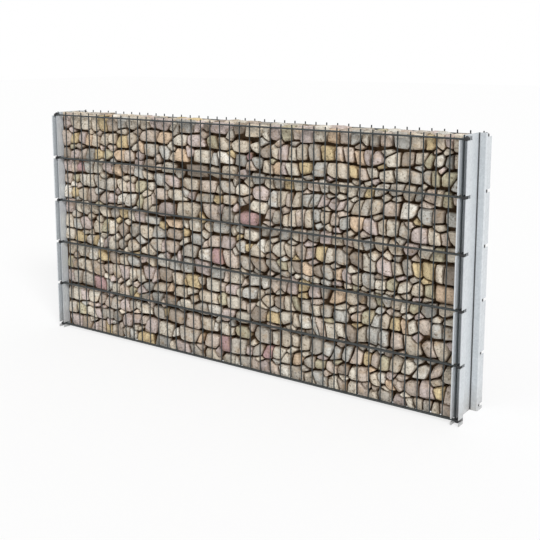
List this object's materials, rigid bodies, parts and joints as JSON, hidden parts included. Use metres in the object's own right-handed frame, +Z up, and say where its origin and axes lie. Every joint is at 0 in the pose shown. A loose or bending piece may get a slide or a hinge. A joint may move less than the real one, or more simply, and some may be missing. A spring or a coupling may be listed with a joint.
{
  "type": "gabion wall",
  "caption": "Slim free-standing stone-filled gabion wall: two folded steel posts, welded double-rod mats front and rear, and packed stones between them.",
  "frame": {"origin": "on the ground, at the middle of the wall's length and depth", "axes": "+Z up, +X along the wall towards the end whose post shows its open side, -Y out of the front face"},
  "size_m": [2.044, 0.213, 1.03],
  "materials": {
    "galvanised_steel": "galvanised sheet with a faint grey spangle",
    "anthracite_mat": "satin anthracite powder coat",
    "facing_stone": "rough broken limestone in cream, beige, pink, grey and ochre",
    "core_stone": "stones deep in the wall, in shade"
  },
  "bodies": {
    "root": {"post_left": "galvanised_steel", "post_right": "galvanised_steel", "front_mat_left": "anthracite_mat", "front_mat_middle": "anthracite_mat", "front_mat_right": "anthracite_mat", "rear_mat_left": "anthracite_mat", "rear_mat_middle": "anthracite_mat", "rear_mat_right": "anthracite_mat", "front_stones_1": "facing_stone", "front_stones_2": "facing_stone", "front_stones_3": "facing_stone", "front_stones_4": "facing_stone", "front_stones_5": "facing_stone", "core_stones_1": "core_stone", "core_stones_2": "core_stone", "core_stones_3": "core_stone", "core_stones_4": "core_stone", "core_stones_5": "core_stone", "rear_stones_1": "facing_stone", "rear_stones_2": "facing_stone", "rear_stones_3": "facing_stone", "rear_stones_4": "facing_stone", "rear_stones_5": "facing_stone", "pocket_stones": "facing_stone"}
  },
  "joints": []
}
